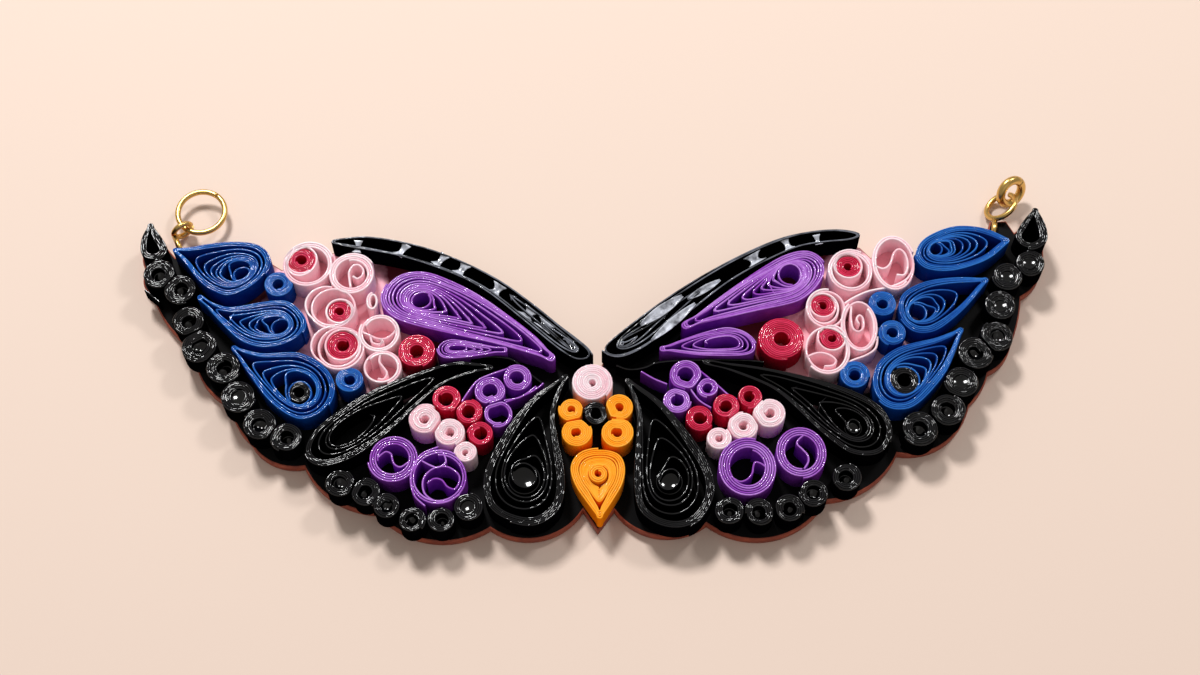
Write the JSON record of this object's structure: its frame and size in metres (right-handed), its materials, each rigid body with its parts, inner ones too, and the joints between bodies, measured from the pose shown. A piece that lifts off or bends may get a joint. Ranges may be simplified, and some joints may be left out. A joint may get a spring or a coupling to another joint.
{
  "type": "quilled paper butterfly",
  "caption": "Butterfly of quilled paper coils on a scalloped card backing, with a wire eye and a jump ring at each wing tip, to hang as the centrepiece of a necklace.",
  "frame": {"origin": "on the back face of the card, on the body line, below the black bead", "axes": "+X to the right wing tip, +Y towards the head, +Z out of the back through the coils"},
  "size_m": [0.0801, 0.0341, 0.0034],
  "materials": {
    "card": "matte",
    "black_paper": "gloss varnish",
    "blue_paper": "gloss varnish",
    "pink_paper": "gloss varnish",
    "crimson_paper": "gloss varnish",
    "purple_paper": "gloss varnish",
    "orange_paper": "gloss varnish",
    "gold_wire": "polished"
  },
  "bodies": {
    "butterfly": {"backing": "card", "black_body_bead": "black_paper", "black_eye_coils": "black_paper", "head_coil": "pink_paper", "left_blue_coils": "blue_paper", "left_blue_lower": "blue_paper", "left_blue_middle": "blue_paper", "left_blue_upper": "blue_paper", "left_body_teardrop": "black_paper", "left_crimson_coils": "crimson_paper", "left_edge_beads": "black_paper", "left_eye_pin": "gold_wire", "left_fore_band": "black_paper", "left_leaf": "black_paper", "left_lower_beads": "black_paper", "left_pink_loop": "pink_paper", "left_pink_scroll_1": "pink_paper", "left_pink_scroll_2": "pink_paper", "left_pink_scroll_3": "pink_paper", "left_pink_scroll_4": "pink_paper", "left_pink_scroll_5": "pink_paper", "left_pink_scroll_6": "pink_paper", "left_purple_coils": "purple_paper", "left_purple_large": "purple_paper", "left_purple_s_coil_1": "purple_paper", "left_purple_s_coil_2": "purple_paper", "left_purple_small": "purple_paper", "left_small_crimson": "crimson_paper", "left_small_pink": "pink_paper", "left_tip_teardrop": "black_paper", "orange_coils": "orange_paper", "orange_teardrop": "orange_paper", "right_blue_coils": "blue_paper", "right_blue_lower": "blue_paper", "right_blue_middle": "blue_paper", "right_blue_upper": "blue_paper", "right_body_teardrop": "black_paper", "right_crimson_coils": "crimson_paper", "right_edge_beads": "black_paper", "right_eye_pin": "gold_wire", "right_fore_band": "black_paper", "right_leaf": "black_paper", "right_lower_beads": "black_paper", "right_pink_scroll_1": "pink_paper", "right_pink_scroll_2": "pink_paper", "right_pink_scroll_3": "pink_paper", "right_pink_scroll_4": "pink_paper", "right_pink_scroll_5": "pink_paper", "right_purple_coils": "purple_paper", "right_purple_large": "purple_paper", "right_purple_s_coil_1": "purple_paper", "right_purple_s_coil_2": "purple_paper", "right_purple_small": "purple_paper", "right_small_crimson": "crimson_paper", "right_small_pink": "pink_paper", "right_tip_teardrop": "black_paper"},
    "left_ring": {"left_jump_ring": "gold_wire"},
    "right_ring": {"right_jump_ring": "gold_wire"}
  },
  "joints": [
    {"name": "left_ring_swing", "type": "hinge", "parent": "butterfly", "child": "left_ring", "pos_m": [-0.03684, 0.02112, 0.00127], "axis": [0.7973, -0.6036, 0], "range_deg": [-60, 90]},
    {"name": "right_ring_swing", "type": "hinge", "parent": "butterfly", "child": "right_ring", "pos_m": [0.0364, 0.02384, 0.00127], "axis": [0.6413, -0.0432, -0.766], "range_deg": [-80, 55]}
  ]
}
